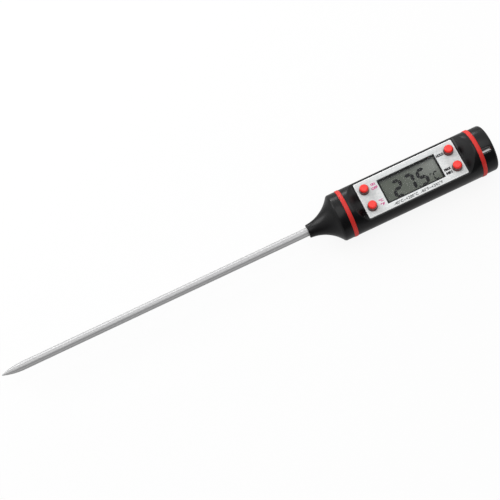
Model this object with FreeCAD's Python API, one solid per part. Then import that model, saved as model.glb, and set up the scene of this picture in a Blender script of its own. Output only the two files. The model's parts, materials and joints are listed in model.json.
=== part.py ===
"""Digital probe thermometer: a pointed stainless stem in a round moulded handle.

Frame: millimetres. The X axis is the axis of the stem and the handle. The origin is the
centre of the collar face, where the stem leaves the neck. -X points to the tip, +X to
the battery cap, and +Z is the way that the faceplate looks.
"""
import FreeCAD
import Part
import math
import os

V = FreeCAD.Vector
AXIS_X = V(1, 0, 0)
AXIS_Z = V(0, 0, 1)

# ---------------------------------------------------------------- driving dimensions
# Stem
STEM_LENGTH = 150.0        # collar face to the tip
STEM_OD = 4.0
STEM_WALL = 0.3
STEM_BURIED = 9.0          # length held in the neck
STEM_BULGE = 0.15          # how far the buried stretch swells, so that it can't pull out
TIP_TAPER = 10.4           # length of the swaged point
TIP_NOSE_R = 0.3
TIP_CLOSURE = 5.0          # solid metal at the point

# Neck and barrel of the handle
COLLAR_R = 3.1
NECK_LENGTH = 13.4         # collar face to the shoulder
NECK_FLARE_R = 17.1        # hollow curve of the neck
SHOULDER_DROP = 0.4        # bevel between the neck and the barrel
SHOULDER_RUN = 0.6
BARREL_OD = 22.0
BARREL_WALL = 1.8
LEAD_HOLE_R = 1.5

# Flat on the barrel
FLAT_HEIGHT = 5.55         # above the axis
FLAT_MARGIN = 0.6          # flat beyond each end of the faceplate
RAMP_RUN = 4.8             # from the end of the flat up to the full round
RAMP_BLEND = 2.0

# Rings
RING_WIDTH = 2.0
RING_PROUD = 0.2
RING_GROOVE = 0.9
RING_SETBACK = 5.4         # neck's end to the middle of the front ring

# Faceplate
PLATE_SETBACK = 7.6        # middle of the front ring to the plate
PLATE_END = 3.45           # button row's middle to the plate's end
PLATE_THICK = 0.8
PLATE_PROUD = 0.2          # top of the plate above the flat
PLATE_CORNER = 0.6
PLATE_BEVEL = 0.22
PLATE_GAP = 0.15
LEDGE_SIDE = 1.0           # shelf that the plate is glued to, along the sides
LEDGE_END = 0.5

# Display
WINDOW_LENGTH = 28.0
WINDOW_WIDTH = 12.2
WINDOW_SHIFT = 0.2         # window middle, past the faceplate's middle
WINDOW_THICK = 0.6
WINDOW_SUNK = 0.1
DISPLAY_BORDER = 0.4       # dark border seen inside the window
GLASS_PAST_END = 0.9       # display cell beyond each end of the window
GLASS_PAST_SIDE = 0.6      # and beyond each of its sides
GLASS_SHEET = 0.95         # one of the cell's two sheets
FRAME_WALL = 0.7
FRAME_LIP = 0.5
FRAME_GAP = 0.3            # frame to the side walls of the cavity
ZEBRA_WIDTH = 1.6

# Circuit board
BOARD_THICK = 1.0
BOARD_GAP = 0.2            # board edge to the cavity wall
BOARD_TOP = 0.0            # above the axis
BOSS_R = 2.4
SCREW_R = 1.0
SCREW_INSET = 1.2          # screws stand this far inside the button rows
PILOT_SPARE = 0.3          # pilot hole beyond the screw's end
SCREW_HEAD_R = 1.5
SCREW_HEAD_H = 1.2
SCREW_LENGTH = 6.0
SCREW_SLOT_W = 0.5
SCREW_SLOT_D = 0.6
CHIP_R = 4.0
CHIP_HEIGHT = 1.5
CHIPLET_LENGTH = 2.0       # resistors and capacitors
CHIPLET_WIDTH = 1.25
CHIPLET_HEIGHT = 0.6
CHIPLET_PITCH = 4.2
CHIPLET_COLUMNS = 4
SOLDER_SIDE = 1.2
SOLDER_HEIGHT = 0.6

# Push buttons
BUTTON_SETOUT = 4.85       # end of the display frame to the middle of a button row
BUTTON_PITCH_Y = 8.4
BUTTON_R = 2.1
BUTTON_TOP_R = 1.6
BUTTON_HEIGHT = 3.3        # above the faceplate
BUTTON_SKIRT = 2.3         # height of the straight lower part above the faceplate
BUTTON_HOLE_GAP = 0.15
BUTTON_FLANGE = 5.2        # side of the square flange
BUTTON_FLANGE_H = 0.5
BUTTON_STOP_GAP = 0.05     # flange to the underside of the faceplate
BUTTON_TRAVEL = 0.5
SWITCH_SIDE = 4.5
SWITCH_HEIGHT = 1.6
SWITCH_FLOOR = 0.2
PLUNGER_SIDE = 1.9
PLUNGER_GAP = 0.1

# Sensor
BEAD_R = 0.8
BEAD_LENGTH = 2.7
BEAD_SETBACK = 1.4         # behind the end of its pocket in the point
POCKET_WALL = 0.2          # compound round the bead
LEAD_R = 0.3
LEAD_PITCH = 0.84
LEAD_LIFT = 0.02           # clear of the bead, the board and the solder
PAD_PITCH = 1.7
PAD_INSET = 0.9            # pads behind the board's front edge
POTTING_LENGTH = 14.0
POTTING_GAP = 0.02
SEAL_R = 2.7
SEAL_DEPTH = 1.3
SEAL_SUNK = 0.1

# Battery: a button cell of 11.6 x 5.4 mm that lies across the handle
CELL_R = 5.8
CELL_HEIGHT = 5.4
CELL_STEP = 0.3            # height of the smaller negative face
CELL_STEP_IN = 0.5
CELL_EDGE = 0.25
CELL_GAP = 0.1
CARRIER_WALL = 0.13        # outside the cell's corner, seen along the handle
CARRIER_ROOF = 0.8         # over the slot
CARRIER_PAST = 0.65        # carrier beyond the cell's middle
CARRIER_GAP = 0.1
CARRIER_END_GAP = 0.15     # carrier inside the barrel's end
CELL_FLOAT = 0.5           # cell to the end of the cap's recess
CONTACT_THICK = 0.3
CONTACT_WIDTH = 3.0
CONTACT_FOOT = 1.0         # soldered to the board
CONTACT_SHORT = 1.0        # strip ends this far inside the carrier
CONTACT_LAP = 0.02         # strip to the cell's face

# Battery cap
CAP_INSET = 0.3            # cap smaller than the barrel, all round
CAP_EDGE = 0.6             # bevel round the end
RECESS_GAP = 0.3           # recess round the carrier
SPIGOT_LENGTH = 3.0        # inside the barrel
SPIGOT_WALL = 1.0
THREAD_GAP = 0.05
CAP_END_WALL = 2.5
RING_SLIDE_GAP = 0.08
RING_FACE_GAP = 0.02
NOTCH_R = 1.55
NOTCH_DEPTH = 1.3
NOTCH_END = 1.5            # notch end to the cap's end
NOTCH_ANGLE = 23.0         # from +Z, towards -Y
SLOT_WIDTH = 1.8
SLOT_LENGTH = 12.0
SLOT_DEPTH = 1.2

# ---------------------------------------------------------------- derived places
stem_r = STEM_OD / 2
bore_r = stem_r - STEM_WALL
held_r = stem_r + STEM_BULGE
barrel_r = BARREL_OD / 2
inner_r = barrel_r - BARREL_WALL

tip_x = -STEM_LENGTH
pocket_x0 = tip_x + TIP_CLOSURE
pocket_x1 = tip_x + TIP_TAPER
pocket_r = BEAD_R + POCKET_WALL
bead_x0 = pocket_x0 + BEAD_SETBACK
bead_x1 = bead_x0 + BEAD_LENGTH

glass_half_x = WINDOW_LENGTH / 2 + GLASS_PAST_END
glass_half_y = WINDOW_WIDTH / 2 + GLASS_PAST_SIDE
frame_half_x = glass_half_x + CELL_GAP + FRAME_WALL
frame_half_y = glass_half_y + CELL_GAP + FRAME_WALL
row_half_x = frame_half_x + BUTTON_SETOUT
cavity_half = frame_half_y + FRAME_GAP

front_ring_x = NECK_LENGTH + RING_SETBACK
plate_x0 = front_ring_x + PLATE_SETBACK
face_x = plate_x0 + PLATE_END + row_half_x
plate_x1 = face_x + row_half_x + PLATE_END
plate_half = cavity_half + LEDGE_SIDE
plate_top = FLAT_HEIGHT + PLATE_PROUD
plate_bottom = plate_top - PLATE_THICK

cavity_x0 = plate_x0 + LEDGE_END
cavity_x1 = plate_x1 - LEDGE_END

window_x = face_x + WINDOW_SHIFT
board_bottom = BOARD_TOP - BOARD_THICK
board_x0 = cavity_x0 + BOARD_GAP
board_half = cavity_half - BOARD_GAP

button_xs = (face_x - row_half_x, face_x + row_half_x)
button_y = BUTTON_PITCH_Y / 2
screw_xs = (button_xs[0] + SCREW_INSET, button_xs[1] - SCREW_INSET)
flange_top = plate_bottom - BUTTON_STOP_GAP
flange_bottom = flange_top - BUTTON_FLANGE_H

carrier_x0 = cavity_x1
web_x1 = carrier_x0 - CELL_GAP
web_x0 = web_x1 - CONTACT_THICK
board_x1 = web_x0 - CELL_GAP
cell_x = carrier_x0 + 2 * CELL_GAP + CELL_R
cell_half = CELL_HEIGHT / 2
slot_top = cell_half + CONTACT_THICK + CELL_GAP
slot_bottom = -cell_half - 2 * CONTACT_THICK - CELL_GAP
carrier_r = math.hypot(CELL_R - CELL_EDGE, cell_half) + CARRIER_WALL
carrier_x1 = cell_x + CARRIER_PAST
carrier_top = slot_top + CARRIER_ROOF

ring_outer_r = barrel_r + RING_PROUD
cap_r = barrel_r - CAP_INSET
barrel_x1 = carrier_x1 + CARRIER_END_GAP
cap_x0 = barrel_x1 + RING_WIDTH
recess_r = carrier_r + RECESS_GAP
recess_x1 = cell_x + CELL_R + CELL_FLOAT
cap_x1 = recess_x1 + CAP_END_WALL
spigot_r = recess_r + SPIGOT_WALL
spigot_x0 = barrel_x1 - SPIGOT_LENGTH

BUTTONS = {
    "power": (button_xs[0], button_y),
    "units": (button_xs[0], -button_y),
    "hold": (button_xs[1], button_y),
    "max_min": (button_xs[1], -button_y),
}


# ---------------------------------------------------------------- helpers
def block(x0, x1, y0, y1, z0, z1):
    """Box between two corners."""
    return Part.makeBox(x1 - x0, y1 - y0, z1 - z0, V(x0, y0, z0))


def slab(x0, x1, half, z0, z1):
    """Box that lies evenly about the middle plane."""
    return block(x0, x1, -half, half, z0, z1)


def rod(r, x0, x1, y=0.0, z=0.0):
    """Cylinder along X."""
    return Part.makeCylinder(r, x1 - x0, V(x0, y, z), AXIS_X)


def tube(outer, inner, x0, x1):
    """Ring or tube about the X axis."""
    return rod(outer, x0, x1).cut(rod(inner, x0 - 1, x1 + 1))


def post(r, z0, z1, x, y):
    """Cylinder along Z."""
    return Part.makeCylinder(r, z1 - z0, V(x, y, z0), AXIS_Z)


def line(a, b):
    """Edge between two points."""
    return Part.LineSegment(a, b).toShape()


def turned(edges, axis=AXIS_X, base=V(0, 0, 0)):
    """Solid turned about an axis from a closed outline."""
    return Part.Face(Part.Wire(edges)).revolve(base, axis, 360)


def turned_x(points):
    """Solid turned about the X axis from (x, r) corners."""
    corners = [V(x, 0, r) for x, r in points]
    return turned([line(a, b) for a, b in zip(corners, corners[1:] + corners[:1])])


def extruded_y(points, half):
    """Prism from an outline of (x, z) corners, evenly about the middle plane."""
    corners = [V(x, -half, z) for x, z in points]
    outline = Part.makePolygon(corners + corners[:1])
    return Part.Face(outline).extrude(V(0, 2 * half, 0))


def rounded_plate(x0, x1, half, z0, z1, corner):
    """Flat plate with rounded upright corners."""
    plate = slab(x0, x1, half, z0, z1)
    upright = [e for e in plate.Edges if abs(e.tangentAt(e.FirstParameter).z) > 0.9]
    return plate.makeFillet(corner, upright)


def export(name, *solids):
    """Write one node, with its solids kept apart."""
    shape = solids[0] if len(solids) == 1 else Part.makeCompound(list(solids))
    shape.exportStep("parts/%s.step" % name)


# ---------------------------------------------------------------- stem and sensor
def stem_bore():
    """Space inside the stem: the long bore, and the narrower pocket in the point."""
    return rod(bore_r, pocket_x1, STEM_BURIED + 1).fuse(rod(pocket_r, pocket_x0, pocket_x1 + 1))


def make_stem():
    """Drawn tube, closed to a point, with a swollen stretch that the neck holds."""
    shank = V(pocket_x1, 0, stem_r)
    nose = V(tip_x + TIP_NOSE_R, 0, TIP_NOSE_R)
    run = shank.x - nose.x
    rise = shank.z - nose.z
    ogive_r = (run * run + rise * rise) / (2 * rise)
    swing = math.asin(run / ogive_r) / 2
    ogive_mid = shank + V(-math.sin(swing), 0, math.cos(swing) - 1) * ogive_r
    stops = [shank, V(0, 0, stem_r), V(STEM_BURIED / 2, 0, held_r), V(STEM_BURIED, 0, stem_r),
             V(STEM_BURIED, 0, 0), V(tip_x, 0, 0), nose]
    edges = [Part.Arc(nose, ogive_mid, shank).toShape()]
    edges += [line(p, q) for p, q in zip(stops, stops[1:])]
    return turned(edges).cut(stem_bore())


def make_neck_seal():
    """Bead of sealant round the stem in the mouth of the neck."""
    return tube(SEAL_R, held_r, SEAL_SUNK, SEAL_DEPTH)


def pad_place(side):
    """Where one sensor wire meets its solder on the board."""
    return V(board_x0 + PAD_INSET, side * PAD_PITCH / 2, BOARD_TOP)


def make_leads():
    """The sensor's two wires, pulled straight from the bead to their pads."""
    leads = []
    for side in (1, -1):
        start = V(bead_x1 + LEAD_LIFT, side * LEAD_PITCH / 2, 0)
        end = pad_place(side) + V(-LEAD_LIFT, 0, LEAD_R + LEAD_LIFT)
        leads.append(Part.makeCylinder(LEAD_R, (end - start).Length, start, end - start))
    return leads


def make_thermistor():
    """Sensing bead."""
    return rod(BEAD_R, bead_x0, bead_x1)


def make_potting(bead, leads):
    """Thermal compound that fills the stem round the bead."""
    potting = rod(pocket_r - POTTING_GAP, pocket_x0 + POTTING_GAP, pocket_x1 + 1)
    filled = rod(bore_r - POTTING_GAP, pocket_x1 + POTTING_GAP, pocket_x0 + POTTING_LENGTH)
    potting = potting.fuse(filled).cut(bead)
    for lead in leads:
        potting = potting.cut(lead)
    return potting


# ---------------------------------------------------------------- handle
def neck_outline():
    """Edges of the handle's outline, before the axis closes it."""
    a = V(0, 0, COLLAR_R)
    b = V(NECK_LENGTH, 0, barrel_r - SHOULDER_DROP)
    chord = b - a
    out = V(-chord.z, 0, chord.x).normalize()
    middle = (a + b) * 0.5
    drop = NECK_FLARE_R - math.sqrt(NECK_FLARE_R ** 2 - (chord.Length / 2) ** 2)
    flare = Part.Arc(a, middle - out * drop, b).toShape()
    corners = [b, V(NECK_LENGTH + SHOULDER_RUN, 0, barrel_r), V(barrel_x1, 0, barrel_r),
               V(barrel_x1, 0, 0), V(0, 0, 0), a]
    return [flare] + [line(p, q) for p, q in zip(corners, corners[1:])]


def flat_cutter():
    """What is cut off the barrel to leave the flat and its two run-outs."""
    x0 = plate_x0 - FLAT_MARGIN
    x1 = plate_x1 + FLAT_MARGIN
    rise = barrel_r - FLAT_HEIGHT
    over = 1.5
    outline = [
        (x0 - RAMP_RUN * over, FLAT_HEIGHT + rise * over),
        (x0, FLAT_HEIGHT),
        (x1, FLAT_HEIGHT),
        (x1 + RAMP_RUN * over, FLAT_HEIGHT + rise * over),
    ]
    cutter = extruded_y(outline, barrel_r + 1)
    low = [
        e for e in cutter.Edges
        if abs(e.tangentAt(e.FirstParameter).y) > 0.9
        and abs(e.CenterOfMass.z - FLAT_HEIGHT) < 1e-6
    ]
    return cutter.makeFillet(RAMP_BLEND, low)


def neck_core():
    """Hollow behind the stem: seal seat, stem bore and wire hole."""
    core = rod(SEAL_R, -1, SEAL_DEPTH)
    core = core.fuse(rod(held_r + POTTING_GAP, 0, STEM_BURIED))
    return core.fuse(rod(LEAD_HOLE_R, 0, cavity_x0 + 1))


def battery_bore():
    """Bore for the carrier, flat on top under the faceplate, and the cap's thread bore."""
    r = carrier_r + CARRIER_GAP
    bore = rod(r, cavity_x1 - 0.5, barrel_x1 + 1)
    bore = bore.common(slab(cavity_x1 - 1, barrel_x1 + 2, r + 1, -r - 1, carrier_top + CARRIER_GAP))
    return bore.fuse(rod(spigot_r + THREAD_GAP, spigot_x0, barrel_x1 + 1))


def make_handle():
    """Moulded handle: neck, barrel, flat, faceplate seat, board space and battery bore."""
    body = turned(neck_outline())
    body = body.cut(flat_cutter())
    groove_x0 = front_ring_x - RING_WIDTH / 2
    groove_x1 = front_ring_x + RING_WIDTH / 2
    body = body.cut(tube(barrel_r + 1, barrel_r - RING_GROOVE, groove_x0, groove_x1))
    seat = rounded_plate(plate_x0 - PLATE_GAP, plate_x1 + PLATE_GAP, plate_half + PLATE_GAP,
                         plate_bottom, barrel_r, PLATE_CORNER)
    body = body.cut(seat)
    under = slab(cavity_x0, cavity_x1, cavity_half, -barrel_r, BOARD_TOP)
    body = body.cut(under.common(rod(inner_r, cavity_x0, cavity_x1)))
    body = body.cut(slab(cavity_x0, cavity_x1, cavity_half, BOARD_TOP, plate_bottom + 1))
    body = body.cut(neck_core())
    body = body.cut(battery_bore())
    pilot_z = BOARD_TOP - SCREW_LENGTH - PILOT_SPARE
    for x in screw_xs:
        boss = post(BOSS_R, -inner_r - BARREL_WALL / 2, board_bottom, x, 0)
        pilot = post(SCREW_R + POTTING_GAP, pilot_z, board_bottom + 1, x, 0)
        body = body.fuse(boss).cut(pilot)
    return body.removeSplitter()


def make_front_ring():
    """Soft ring that stands a little out of its groove."""
    half = RING_WIDTH / 2 - RING_FACE_GAP
    inner = barrel_r - RING_GROOVE + RING_FACE_GAP
    return tube(ring_outer_r, inner, front_ring_x - half, front_ring_x + half)


# ---------------------------------------------------------------- face
def make_faceplate():
    """Printed plate with the display opening and the button holes."""
    plate = rounded_plate(plate_x0, plate_x1, plate_half, plate_bottom, plate_top, PLATE_CORNER)
    rim = [
        e for e in plate.Edges
        if all(abs(v.Point.z - plate_top) < 1e-6 for v in e.Vertexes)
    ]
    plate = plate.makeChamfer(PLATE_BEVEL, rim)
    plate = plate.cut(slab(window_x - WINDOW_LENGTH / 2, window_x + WINDOW_LENGTH / 2,
                           WINDOW_WIDTH / 2, plate_bottom - 1, plate_top + 1))
    for x, y in BUTTONS.values():
        hole = post(BUTTON_R + BUTTON_HOLE_GAP, plate_bottom - 1, plate_top + 1, x, y)
        plate = plate.cut(hole)
    return plate


def make_window():
    """Clear window, a little below the faceplate's top."""
    top = plate_top - WINDOW_SUNK
    fit = PLATE_GAP / 3
    return slab(window_x - WINDOW_LENGTH / 2 + fit, window_x + WINDOW_LENGTH / 2 - fit,
                WINDOW_WIDTH / 2 - fit, top - WINDOW_THICK, top)


def make_display():
    """Frame, the two sheets of the display cell, and the two contact strips under it."""
    lip_bottom = plate_bottom - FRAME_LIP
    room_half_x = frame_half_x - FRAME_WALL
    frame = slab(window_x - frame_half_x, window_x + frame_half_x, frame_half_y,
                 BOARD_TOP, plate_bottom)
    frame = frame.cut(slab(window_x - room_half_x, window_x + room_half_x,
                           frame_half_y - FRAME_WALL, BOARD_TOP - 1, lip_bottom))
    frame = frame.cut(slab(window_x - WINDOW_LENGTH / 2 + DISPLAY_BORDER,
                           window_x + WINDOW_LENGTH / 2 - DISPLAY_BORDER,
                           WINDOW_WIDTH / 2 - DISPLAY_BORDER, BOARD_TOP, plate_bottom + 1))
    x0 = window_x - glass_half_x
    x1 = window_x + glass_half_x
    middle = lip_bottom - GLASS_SHEET
    under = middle - GLASS_SHEET
    upper = slab(x0, x1, glass_half_y, middle, lip_bottom)
    lower = slab(x0, x1, glass_half_y, under, middle)
    outer_y = glass_half_y - 2 * CELL_GAP
    strips = []
    for side in (1, -1):
        y = sorted((side * outer_y, side * (outer_y - ZEBRA_WIDTH)))
        strips.append(block(x0 + CELL_GAP, x1 - CELL_GAP, y[0], y[1], BOARD_TOP, under))
    return frame, upper, lower, strips


def make_button(x, y):
    """Cap with a straight skirt, a tapered top, and a square flange that stops and keys it."""
    skirt_top = plate_top + BUTTON_SKIRT
    top = plate_top + BUTTON_HEIGHT
    outline = [
        (0, flange_top),
        (BUTTON_R, flange_top),
        (BUTTON_R, skirt_top),
        (BUTTON_TOP_R, top),
        (0, top),
    ]
    corners = [V(x + r, y, z) for r, z in outline]
    edges = [line(a, b) for a, b in zip(corners, corners[1:] + corners[:1])]
    half = BUTTON_FLANGE / 2
    flange = block(x - half, x + half, y - half, y + half, flange_bottom, flange_top)
    return turned(edges, AXIS_Z, V(x, y, 0)).fuse(flange)


def make_switch(x, y):
    """Housing of a tactile switch, with the well that its plunger slides in."""
    half = SWITCH_SIDE / 2
    well = PLUNGER_SIDE / 2 + PLUNGER_GAP
    top = BOARD_TOP + SWITCH_HEIGHT
    body = block(x - half, x + half, y - half, y + half, BOARD_TOP, top)
    floor = BOARD_TOP + SWITCH_FLOOR
    return body.cut(block(x - well, x + well, y - well, y + well, floor, top + 1))


def make_plunger(x, y):
    """Square plunger of a tactile switch, which the button's underside pushes down."""
    half = PLUNGER_SIDE / 2
    bottom = BOARD_TOP + SWITCH_FLOOR + BUTTON_TRAVEL + PLUNGER_GAP
    return block(x - half, x + half, y - half, y + half, bottom, flange_bottom)


# ---------------------------------------------------------------- board
def make_board():
    """Circuit board with its two screw holes."""
    board = slab(board_x0, board_x1, board_half, board_bottom, BOARD_TOP)
    for x in screw_xs:
        board = board.cut(post(SCREW_R + CELL_GAP, board_bottom - 1, BOARD_TOP + 1, x, 0))
    return board


def make_screws():
    """Two self-tapping screws with slotted heads."""
    screws = []
    for x in screw_xs:
        head = post(SCREW_HEAD_R, BOARD_TOP, BOARD_TOP + SCREW_HEAD_H, x, 0)
        slot_z = BOARD_TOP + SCREW_HEAD_H - SCREW_SLOT_D
        head = head.cut(block(x - SCREW_SLOT_W / 2, x + SCREW_SLOT_W / 2,
                              -SCREW_HEAD_R, SCREW_HEAD_R, slot_z, slot_z + 1))
        shank = post(SCREW_R, BOARD_TOP - SCREW_LENGTH, BOARD_TOP, x, 0)
        screws.append(head.fuse(shank))
    return screws


def make_chip():
    """Bonded controller under a round cap of resin, on the board's underside."""
    return post(CHIP_R, board_bottom - CHIP_HEIGHT, board_bottom, window_x, 0)


def make_surface_parts():
    """Resistors and capacitors in two rows beside the controller."""
    y = board_half - 2 * CHIPLET_WIDTH
    parts = []
    for column in range(CHIPLET_COLUMNS):
        x0 = window_x + (column - CHIPLET_COLUMNS / 2) * CHIPLET_PITCH
        for mid in (y, -y):
            parts.append(block(x0, x0 + CHIPLET_LENGTH, mid - CHIPLET_WIDTH / 2,
                               mid + CHIPLET_WIDTH / 2, board_bottom - CHIPLET_HEIGHT,
                               board_bottom))
    return parts


def make_solder():
    """Solder that the two sensor wires end in."""
    joints = []
    for side in (1, -1):
        pad = pad_place(side)
        half = SOLDER_SIDE / 2
        joints.append(block(pad.x, pad.x + SOLDER_SIDE, pad.y - half, pad.y + half,
                            BOARD_TOP, BOARD_TOP + SOLDER_HEIGHT))
    return joints


# ---------------------------------------------------------------- battery
def make_cell():
    """Button cell that lies across the handle, its negative face down."""
    face_r = CELL_R - CELL_STEP_IN
    can = post(CELL_R, -cell_half + CELL_STEP, cell_half, cell_x, 0)
    upper = [e for e in can.Edges if abs(e.CenterOfMass.z - cell_half) < 1e-6]
    can = can.makeChamfer(CELL_EDGE, upper)
    return can.fuse(post(face_r, -cell_half, 0, cell_x, 0))


def make_carrier():
    """Cradle with an open slot that the cell slides into edge first."""
    z0 = slot_bottom
    z1 = slot_top
    slot_r = CELL_R + CELL_GAP
    body = rod(carrier_r, carrier_x0, carrier_x1)
    body = body.common(slab(carrier_x0, carrier_x1, carrier_r + 1, -carrier_r - 1, carrier_top))
    body = body.cut(post(slot_r, z0, z1, cell_x, 0))
    body = body.cut(slab(cell_x, carrier_x1 + 1, slot_r, z0, z1))
    window = CONTACT_WIDTH / 2 + CELL_GAP
    return body.cut(slab(carrier_x0 - 1, cell_x, window, z0, z1))


def make_contacts():
    """Bent strips from the board to the cell: the top one flat, the lower one sprung."""
    foot_x = board_x1 - CONTACT_FOOT
    end_x = carrier_x1 - CONTACT_SHORT
    upper_z = cell_half + CONTACT_LAP
    lower_z = -cell_half - CONTACT_LAP
    t = CONTACT_THICK
    positive = extruded_y([
        (foot_x, BOARD_TOP), (web_x1, BOARD_TOP), (web_x1, upper_z),
        (end_x, upper_z), (end_x, upper_z + t), (web_x0, upper_z + t),
        (web_x0, BOARD_TOP + t), (foot_x, BOARD_TOP + t),
    ], CONTACT_WIDTH / 2)
    negative = extruded_y([
        (foot_x, board_bottom), (web_x1, board_bottom), (web_x1, lower_z - t),
        (end_x, lower_z), (end_x, lower_z - t), (web_x0, lower_z - 2 * t),
        (web_x0, board_bottom - t), (foot_x, board_bottom - t),
    ], CONTACT_WIDTH / 2)
    return positive, negative


def make_rear_ring():
    """Sealing ring that rides on the cap's spigot, between the barrel and the cap."""
    inner = spigot_r + RING_SLIDE_GAP
    return tube(ring_outer_r, inner, barrel_x1 + RING_FACE_GAP, cap_x0 - RING_FACE_GAP)


def grip_notch(angle):
    """Cutter for one finger notch in the side of the cap."""
    notch = rod(NOTCH_R, cap_x0 - 1, cap_x1 - NOTCH_END, 0, cap_r + NOTCH_R - NOTCH_DEPTH)
    notch.rotate(V(0, 0, 0), AXIS_X, angle)
    return notch


def make_cap():
    """Screw cap: bevelled head, finger notches, coin slot, and a hollow spigot."""
    cap = turned_x([
        (cap_x1, 0),
        (spigot_x0, 0),
        (spigot_x0, spigot_r),
        (cap_x0, spigot_r),
        (cap_x0, cap_r),
        (cap_x1 - CAP_EDGE, cap_r),
        (cap_x1, cap_r - CAP_EDGE),
    ])
    cap = cap.cut(rod(recess_r, spigot_x0 - 1, recess_x1))
    for angle in (NOTCH_ANGLE, NOTCH_ANGLE + 180):
        cap = cap.cut(grip_notch(angle))
    slot = block(cap_x1 - SLOT_DEPTH, cap_x1 + 1, -SLOT_LENGTH / 2, SLOT_LENGTH / 2,
                 -SLOT_WIDTH / 2, SLOT_WIDTH / 2)
    return cap.cut(slot)


# ---------------------------------------------------------------- build
def main():
    os.makedirs("parts", exist_ok=True)
    leads = make_leads()
    bead = make_thermistor()
    export("probe_stem", make_stem())
    export("neck_seal", make_neck_seal())
    export("thermistor", bead)
    export("thermistor_leads", *leads)
    export("tip_potting", make_potting(bead, leads))

    export("handle_body", make_handle())
    export("front_ring", make_front_ring())
    export("faceplate", make_faceplate())
    export("lcd_window", make_window())
    frame, upper, lower, strips = make_display()
    export("lcd_frame", frame)
    export("lcd_glass", upper, lower)
    export("zebra_strips", *strips)

    export("circuit_board", make_board())
    export("board_screws", *make_screws())
    export("controller_chip", make_chip())
    export("surface_parts", *make_surface_parts())
    export("solder_joints", *make_solder())
    export("switch_housings", *[make_switch(x, y) for x, y in BUTTONS.values()])
    for name, (x, y) in BUTTONS.items():
        export("button_%s" % name, make_button(x, y))
        export("plunger_%s" % name, make_plunger(x, y))

    positive, negative = make_contacts()
    export("battery_carrier", make_carrier())
    export("battery_cell", make_cell())
    export("positive_contact", positive)
    export("negative_contact", negative)
    export("rear_ring", make_rear_ring())
    export("battery_cap", make_cap())


main()
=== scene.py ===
"""Looks of a pen-style digital probe thermometer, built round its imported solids.

Every piece is in metres in the frame of the solids: X runs along the stem and the handle,
with the point at -X and the battery cap at +X, and +Z comes out of the faceplate.
"""
import json
import logging
import math
from dataclasses import dataclass
from enum import Enum
from typing import Callable, Iterable, Optional, Sequence

import bmesh
import bpy
from mathutils import Matrix, Vector


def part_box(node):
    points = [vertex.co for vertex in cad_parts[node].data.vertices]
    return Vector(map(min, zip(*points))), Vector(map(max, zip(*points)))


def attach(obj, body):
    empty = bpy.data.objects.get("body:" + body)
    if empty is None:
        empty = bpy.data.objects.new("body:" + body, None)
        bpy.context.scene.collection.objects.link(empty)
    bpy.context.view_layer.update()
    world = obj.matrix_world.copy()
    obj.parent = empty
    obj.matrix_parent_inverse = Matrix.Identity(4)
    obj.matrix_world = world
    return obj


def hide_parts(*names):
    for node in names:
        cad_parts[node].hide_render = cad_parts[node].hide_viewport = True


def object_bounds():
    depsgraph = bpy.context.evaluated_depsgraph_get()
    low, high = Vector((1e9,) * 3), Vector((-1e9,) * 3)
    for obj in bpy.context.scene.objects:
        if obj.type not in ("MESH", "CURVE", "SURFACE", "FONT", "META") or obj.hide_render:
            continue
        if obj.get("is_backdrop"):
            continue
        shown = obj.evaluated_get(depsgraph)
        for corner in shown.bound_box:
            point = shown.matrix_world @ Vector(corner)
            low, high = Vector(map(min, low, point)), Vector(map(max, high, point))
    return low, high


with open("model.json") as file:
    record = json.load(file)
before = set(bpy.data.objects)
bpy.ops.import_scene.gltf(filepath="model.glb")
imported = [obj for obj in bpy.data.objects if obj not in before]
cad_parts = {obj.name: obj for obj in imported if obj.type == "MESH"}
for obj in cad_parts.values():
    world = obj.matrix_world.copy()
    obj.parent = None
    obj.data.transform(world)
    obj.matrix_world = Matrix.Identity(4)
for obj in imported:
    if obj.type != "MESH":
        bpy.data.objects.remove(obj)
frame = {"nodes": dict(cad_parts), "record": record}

LOG = logging.getLogger("probe_thermometer")
MM = 0.001
FULL_TURN = 2 * math.pi
ALONG = (1.0, 0.0, 0.0)         # axis of the stem and the handle
HALF_TURN = 180.0               # degrees
MERGE = 1e-6                    # vertices closer than this are one
FLAT_ANGLE = 0.5                # faces that turn fewer degrees than this are one
ROUND_SEGMENTS = 5              # flats in a rounded corner of a turned outline
CLOUD_EDGES = (0.32, 0.68)      # noise between these goes from the dark tone to the light one
CLOUD_DETAIL = 3.0              # octaves of the clouds
GRAIN_DETAIL = 2.0              # and of the grain
MIX_A = 6                       # colour sockets of Blender's Mix node
MIX_B = 7
MIX_COLOUR = 2

Colour = tuple[float, float, float]
Profile = Sequence[tuple[float, float]]
WHITE: Colour = (1.0, 1.0, 1.0)


class Body(Enum):
    """Moving bodies of the thermometer."""

    HANDLE = "handle"
    POWER = "button_power"
    UNITS = "button_units"
    HOLD = "button_hold"
    MAX_MIN = "button_max_min"
    SEAL = "seal"
    CAP = "cap"


# ---------------------------------------------------------------- sizes read from the frame
@dataclass(frozen=True)
class Extent:
    """Box of one solid at rest."""

    low: Vector
    high: Vector

    @classmethod
    def of(cls, node: str) -> "Extent":
        """Box of the named solid."""
        low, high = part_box(node)
        return cls(low, high)

    @property
    def centre(self) -> Vector:
        """Middle of the box."""
        return (self.low + self.high) / 2

    @property
    def radius(self) -> float:
        """Radius of a solid that is round about the X axis."""
        return max(self.high.y, self.high.z)


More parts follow.
